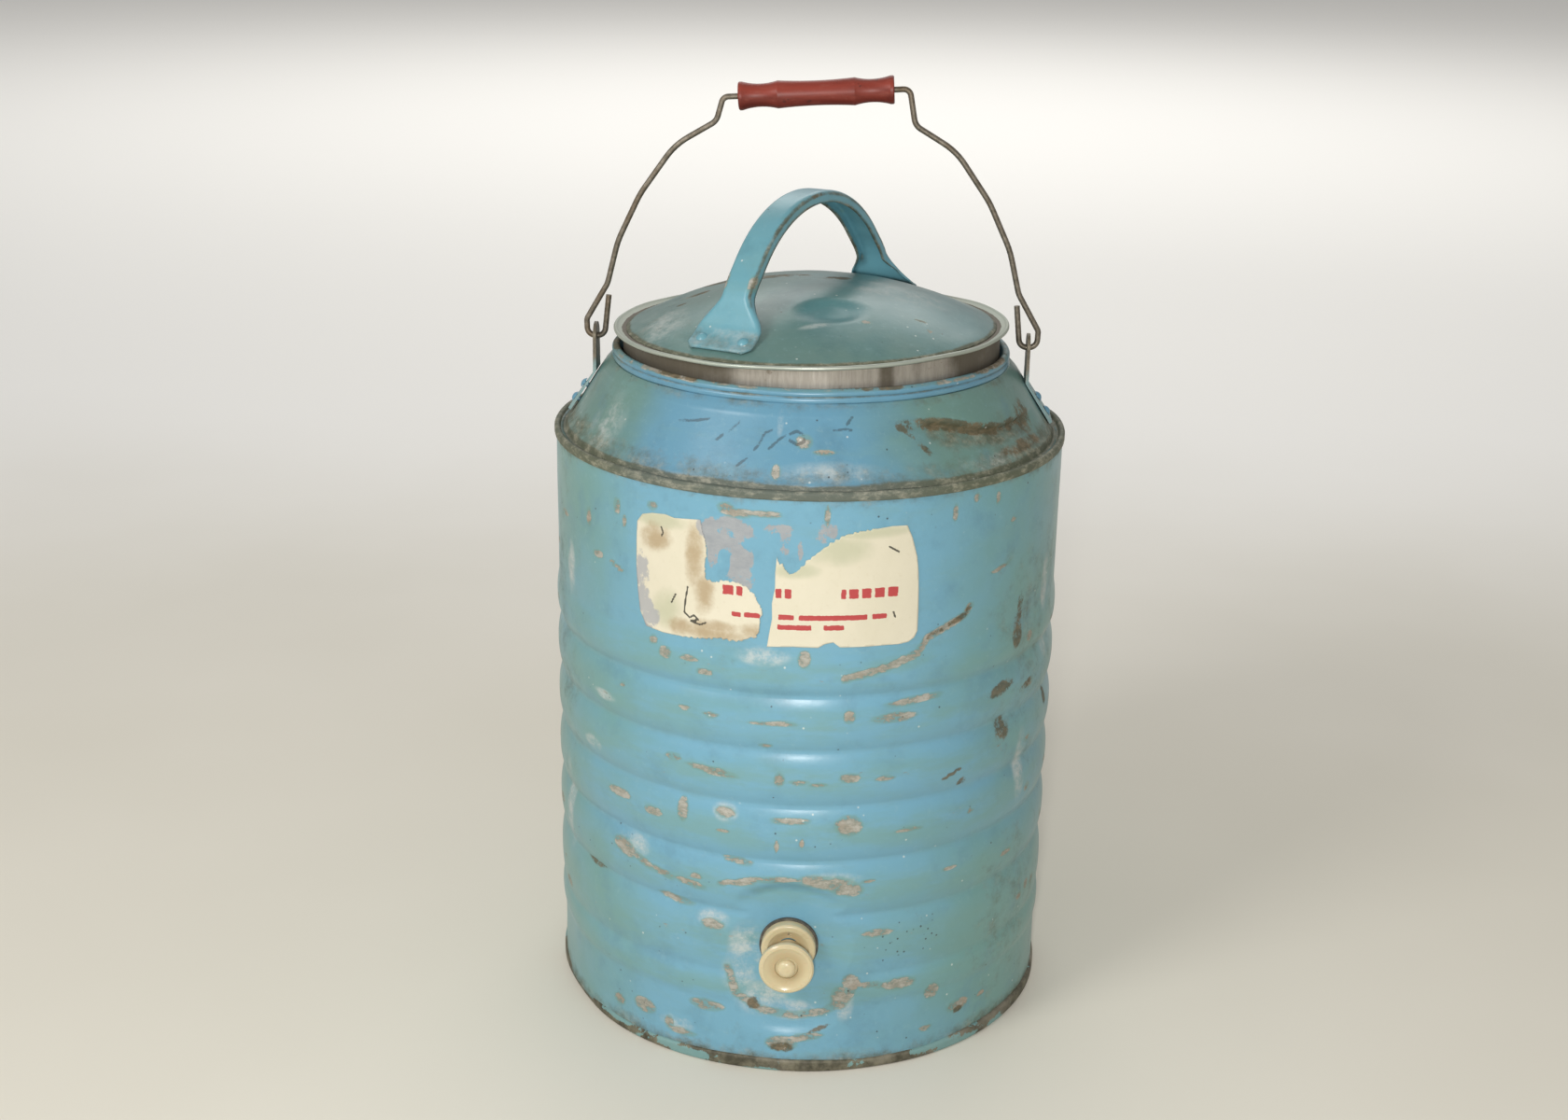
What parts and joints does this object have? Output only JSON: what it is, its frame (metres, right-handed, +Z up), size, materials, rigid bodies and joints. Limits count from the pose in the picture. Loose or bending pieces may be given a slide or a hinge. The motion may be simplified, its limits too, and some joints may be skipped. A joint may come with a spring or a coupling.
{
  "type": "insulated drinks cooler",
  "caption": "Round insulated sheet-metal drinks cooler with ribbed barrel, lift-off domed lid with strap handle, push-button tap and wire bail with turned wooden grip.",
  "frame": {"origin": "centre of the rolled base rim on the resting plane", "axes": "+Z up; -Y towards the tap; X along the bail's swing axis"},
  "size_m": [0.2926, 0.3173, 0.5326],
  "materials": {
    "paint": "worn light blue enamel, chipped to grey-pink galvanising",
    "worn_rim": "rim worn to dark olive-brown metal",
    "galvanised": "dull, stained and finely brushed",
    "aged_steel": "dark aged wire",
    "spring_steel": "bright drawn wire",
    "insulation": "packed fibre",
    "paper": "aged, torn and stained",
    "cream_plastic": "yellowed, smooth moulded",
    "black_rubber": "matt",
    "red_wood": "dark red paint, worn smooth"
  },
  "bodies": {
    "root": {"barrel_shell": "paint", "base_pan": "worn_rim", "shoulder_cone": "paint", "neck_rim": "paint", "liner_wall": "galvanised", "liner_floor": "galvanised", "wall_insulation": "insulation", "floor_insulation": "insulation", "paper_label": "paper", "ear_right": "aged_steel", "ear_left": "aged_steel", "ear_rivets": "paint", "tap_body": "cream_plastic", "tap_outer_gasket": "black_rubber", "tap_sleeve": "galvanised", "tap_inner_gasket": "black_rubber", "tap_nut": "cream_plastic", "tap_return_spring": "spring_steel"},
    "lid": {"lid_dome": "paint", "lid_skirt": "galvanised", "lid_pan": "galvanised", "lid_insulation": "insulation", "lid_handle": "paint", "lid_handle_rivets": "paint"},
    "bail": {"bail_wire": "aged_steel"},
    "grip": {"bail_grip": "red_wood"},
    "button": {"tap_button": "cream_plastic", "tap_plunger": "cream_plastic", "tap_stopper": "black_rubber"}
  },
  "joints": [
    {"name": "bail_swing", "type": "hinge", "parent": "root", "child": "bail", "pos_m": [0, 0, 0.3843], "axis": [1, 0, 0], "range_deg": [-99, 99]},
    {"name": "grip_spin", "type": "hinge", "parent": "bail", "child": "grip", "pos_m": [0, 0, 0.5223], "axis": [0.998, 0, 0.0628], "continuous": true},
    {"name": "lid_lift", "type": "slide", "parent": "root", "child": "lid", "axis": [0, 0, 1], "range_m": [0, 0.019]},
    {"name": "button_push", "type": "slide", "parent": "root", "child": "button", "axis": [0, 1, 0], "range_m": [0, 0.005], "stiffness_N_per_m": 600, "springref_m": -0.004, "deforming": ["tap_return_spring"]}
  ]
}
